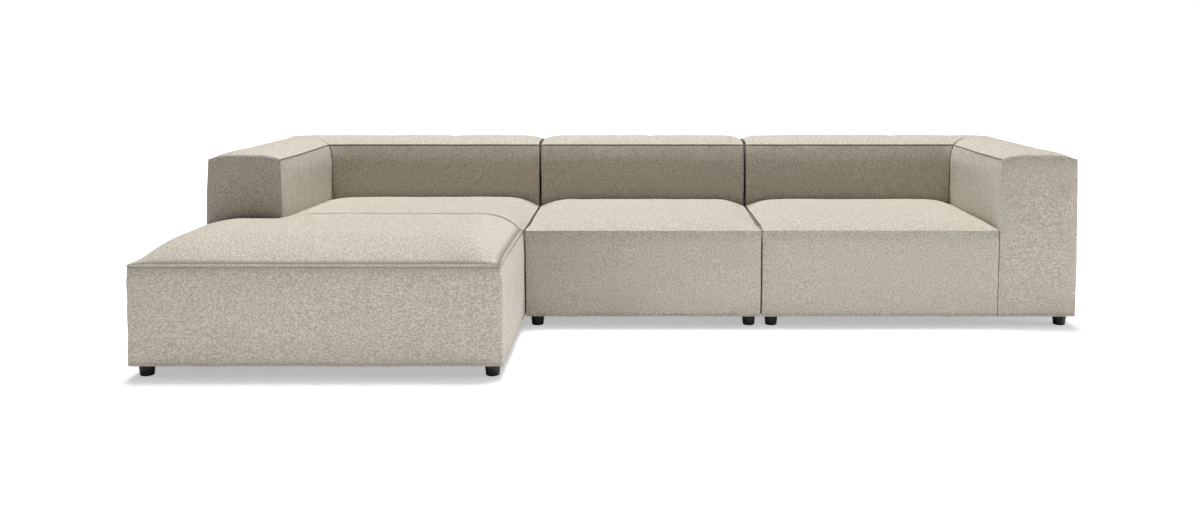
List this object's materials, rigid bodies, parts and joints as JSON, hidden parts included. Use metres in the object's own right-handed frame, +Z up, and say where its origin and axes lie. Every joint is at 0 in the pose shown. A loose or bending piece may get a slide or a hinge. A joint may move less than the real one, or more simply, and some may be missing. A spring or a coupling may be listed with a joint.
{
  "type": "sectional sofa with chaise",
  "caption": "Low modular sectional sofa with a chaise on its left, padded arms and backs with mitred corners, and short round feet.",
  "frame": {"origin": "on the floor, in the middle of the sofa's width and of its full depth with the chaise", "axes": "+X along the sofa towards the end module, +Y towards the rear of the backs, +Z up"},
  "size_m": [3.5999, 1.75, 0.723],
  "materials": {
    "upholstery_fabric": "mottled beige chenille",
    "foam": "polyurethane foam",
    "dust_cloth": "black non-woven cloth",
    "webbing": "elastic webbing",
    "foot_plastic": "matte black",
    "frame_wood": "sawn softwood and plywood",
    "zinc_steel": "zinc plated"
  },
  "bodies": {
    "chaise_module": {"chaise_arm_cover": "upholstery_fabric", "chaise_arm_foam": "foam", "chaise_arm_frame": "frame_wood", "chaise_back_cover": "upholstery_fabric", "chaise_back_foam": "foam", "chaise_back_frame": "frame_wood", "chaise_back_webbing": "webbing", "chaise_connector_screws": "zinc_steel", "chaise_corner_blocks": "frame_wood", "chaise_cross_rails": "frame_wood", "chaise_dust_cover": "dust_cloth", "chaise_feet": "foot_plastic", "chaise_foot_bolts": "zinc_steel", "chaise_frame_screws": "zinc_steel", "chaise_hook_plates": "zinc_steel", "chaise_seat_cover": "upholstery_fabric", "chaise_seat_foam": "foam", "chaise_seat_webbing": "webbing", "chaise_side_rails": "frame_wood"},
    "middle_module": {"middle_back_cover": "upholstery_fabric", "middle_back_foam": "foam", "middle_back_frame": "frame_wood", "middle_back_webbing": "webbing", "middle_connector_screws": "zinc_steel", "middle_corner_blocks": "frame_wood", "middle_cross_rails": "frame_wood", "middle_dust_cover": "dust_cloth", "middle_feet": "foot_plastic", "middle_foot_bolts": "zinc_steel", "middle_frame_screws": "zinc_steel", "middle_hook_plates": "zinc_steel", "middle_seat_cover": "upholstery_fabric", "middle_seat_foam": "foam", "middle_seat_webbing": "webbing", "middle_side_rails": "frame_wood", "middle_tongue_plates": "zinc_steel"},
    "end_module": {"end_arm_cover": "upholstery_fabric", "end_arm_foam": "foam", "end_arm_frame": "frame_wood", "end_back_cover": "upholstery_fabric", "end_back_foam": "foam", "end_back_frame": "frame_wood", "end_back_webbing": "webbing", "end_connector_screws": "zinc_steel", "end_corner_blocks": "frame_wood", "end_cross_rails": "frame_wood", "end_dust_cover": "dust_cloth", "end_feet": "foot_plastic", "end_foot_bolts": "zinc_steel", "end_frame_screws": "zinc_steel", "end_seat_cover": "upholstery_fabric", "end_seat_foam": "foam", "end_seat_webbing": "webbing", "end_side_rails": "frame_wood", "end_tongue_plates": "zinc_steel"}
  },
  "joints": [
    {"name": "middle_module_lift", "type": "slide", "parent": "chaise_module", "child": "middle_module", "axis": [0, 0, 1], "range_m": [0, 0.06]},
    {"name": "end_module_lift", "type": "slide", "parent": "middle_module", "child": "end_module", "axis": [0, 0, 1], "range_m": [0, 0.06]}
  ]
}
